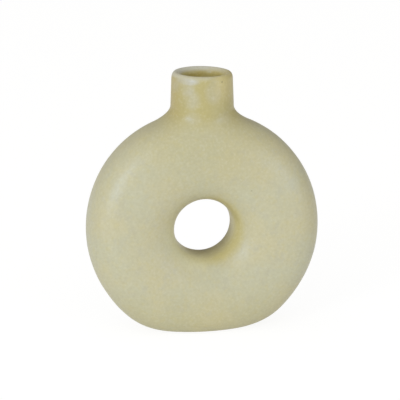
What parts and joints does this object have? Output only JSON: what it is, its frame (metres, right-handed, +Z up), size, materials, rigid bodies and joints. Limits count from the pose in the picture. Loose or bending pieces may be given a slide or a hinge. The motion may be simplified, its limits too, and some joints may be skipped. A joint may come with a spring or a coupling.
{
  "type": "bud vase",
  "caption": "Hollow upright ring of glazed stoneware on a small flat foot, with a short round neck on its crest that holds a flower stem.",
  "frame": {"origin": "centre of the vase on the surface it stands on, under the foot", "axes": "+Z up along the neck, +X to the right as seen from the front, +Y from front to back through the hole"},
  "size_m": [0.09, 0.0286, 0.1012],
  "materials": {
    "body_glaze": "satin-matte sage-khaki glaze, finely mottled",
    "neck_glaze": "the same glaze, breaking to ochre round the neck and olive inside",
    "slip": "fired slip under the glaze"
  },
  "bodies": {
    "root": {"front_shell": "body_glaze", "back_shell": "body_glaze", "neck": "neck_glaze", "edge_seam": "slip", "hole_seam": "slip", "neck_seam": "slip"}
  },
  "joints": []
}
